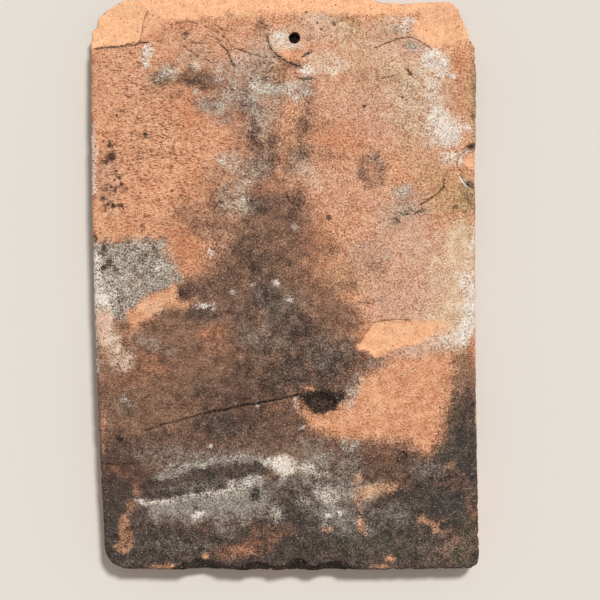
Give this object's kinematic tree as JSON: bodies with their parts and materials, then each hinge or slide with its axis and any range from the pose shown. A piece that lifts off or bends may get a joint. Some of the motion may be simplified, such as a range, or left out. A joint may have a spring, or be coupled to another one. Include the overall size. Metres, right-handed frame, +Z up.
{
  "type": "clay peg tile",
  "caption": "Old hand-made clay peg tile: a cambered fired slab with a punched peg hole near its head, worn arrises, broken head corners, chips and spalls.",
  "frame": {"origin": "middle of the tile's plan, on the floor that it rests on", "axes": "+Z up out of the exposed face, +Y along the tile towards its head, where the peg hole is, +X across it to the right"},
  "size_m": [0.1666, 0.246, 0.0172],
  "materials": {
    "fired_clay": "rough sanded fired clay, unglazed, with soot, lichen and lime stains and fresher orange clay where it has broken"
  },
  "bodies": {
    "root": {"tile": "fired_clay"}
  },
  "joints": []
}
